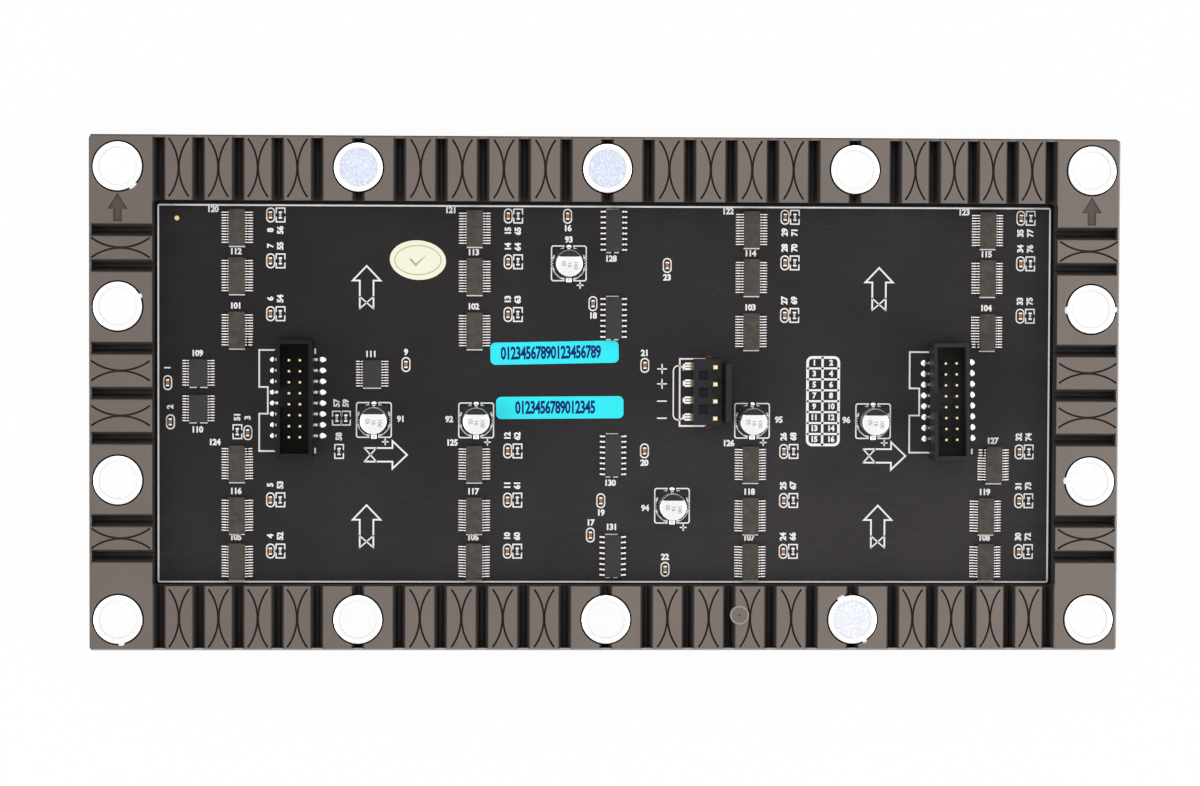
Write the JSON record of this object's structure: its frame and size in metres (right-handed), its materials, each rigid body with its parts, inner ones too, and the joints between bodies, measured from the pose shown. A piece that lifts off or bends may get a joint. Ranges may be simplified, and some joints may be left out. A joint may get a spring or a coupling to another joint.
{
  "type": "flexible led module",
  "caption": "Rectangular flexible LED display module seen from the rear: soft grooved frame with pot magnets round a circuit board with chips and connectors.",
  "frame": {"origin": "centre of the display face, on the surface that the module lies on", "axes": "+X along the module's length, +Y towards its upper edge, which the arrows on the frame point to, +Z out of its rear side"},
  "size_m": [0.24, 0.12, 0.012],
  "materials": {
    "silicone_black": "matte",
    "solder_mask_black": "satin",
    "rubber_grey": "matte",
    "nickel_plate": "satin",
    "epoxy_black": "matte",
    "can_aluminium": "satin",
    "base_black": "matte",
    "tinned_metal": "satin",
    "ceramic_brown": "satin",
    "ceramic_black": "satin",
    "housing_black": "satin",
    "label_cyan": "satin",
    "label_cream": "satin"
  },
  "bodies": {
    "root": {"front_mask": "silicone_black", "circuit_board": "solder_mask_black", "rear_frame": "rubber_grey", "pot_magnets": "nickel_plate", "red_driver_1": "epoxy_black", "green_driver_1": "epoxy_black", "blue_driver_1": "epoxy_black", "red_driver_2": "epoxy_black", "green_driver_2": "epoxy_black", "blue_driver_2": "epoxy_black", "red_driver_3": "epoxy_black", "green_driver_3": "epoxy_black", "blue_driver_3": "epoxy_black", "red_driver_4": "epoxy_black", "green_driver_4": "epoxy_black", "blue_driver_4": "epoxy_black", "red_driver_5": "epoxy_black", "green_driver_5": "epoxy_black", "blue_driver_5": "epoxy_black", "red_driver_6": "epoxy_black", "green_driver_6": "epoxy_black", "blue_driver_6": "epoxy_black", "red_driver_7": "epoxy_black", "green_driver_7": "epoxy_black", "blue_driver_7": "epoxy_black", "red_driver_8": "epoxy_black", "green_driver_8": "epoxy_black", "blue_driver_8": "epoxy_black", "buffer_chip_1": "epoxy_black", "buffer_chip_2": "epoxy_black", "buffer_chip_3": "epoxy_black", "row_switch_1": "epoxy_black", "row_switch_2": "epoxy_black", "row_switch_3": "epoxy_black", "row_switch_4": "epoxy_black", "capacitor_cans": "can_aluminium", "capacitor_bases": "base_black", "capacitor_terminals": "tinned_metal", "ceramic_capacitors": "ceramic_brown", "chip_resistors": "ceramic_black", "input_header_housing": "housing_black", "input_header_pins": "tinned_metal", "output_header_housing": "housing_black", "output_header_pins": "tinned_metal", "power_header_housing": "housing_black", "power_header_pins": "tinned_metal", "upper_label": "label_cyan", "lower_label": "label_cyan", "inspection_label": "label_cream"}
  },
  "joints": []
}
